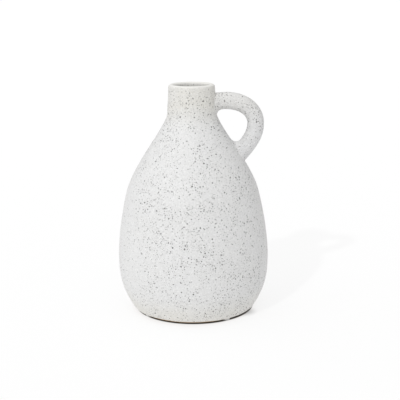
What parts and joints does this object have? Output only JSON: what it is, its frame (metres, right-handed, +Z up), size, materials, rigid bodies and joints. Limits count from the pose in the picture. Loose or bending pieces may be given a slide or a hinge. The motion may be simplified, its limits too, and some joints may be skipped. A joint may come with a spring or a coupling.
{
  "type": "bottle vase",
  "caption": "Small stoneware bottle vase with a narrow neck and one loop handle, speckled matt glaze, standing on clear bumper pads.",
  "frame": {"origin": "on the floor under the turning axis of the body, at the centre of the model's base", "axes": "+Z up along the turning axis, +X towards the handle, -Y towards the viewer"},
  "size_m": [0.1166, 0.1166, 0.175],
  "materials": {
    "body_glaze": "matt",
    "handle_glaze": "matt",
    "slip_glaze": "matt",
    "clear_pad": "satin"
  },
  "bodies": {
    "root": {"body": "body_glaze", "handle": "handle_glaze", "upper_joint_slip": "slip_glaze", "lower_joint_slip": "slip_glaze", "bumper_pad_1": "clear_pad", "bumper_pad_2": "clear_pad", "bumper_pad_3": "clear_pad", "bumper_pad_4": "clear_pad"}
  },
  "joints": []
}
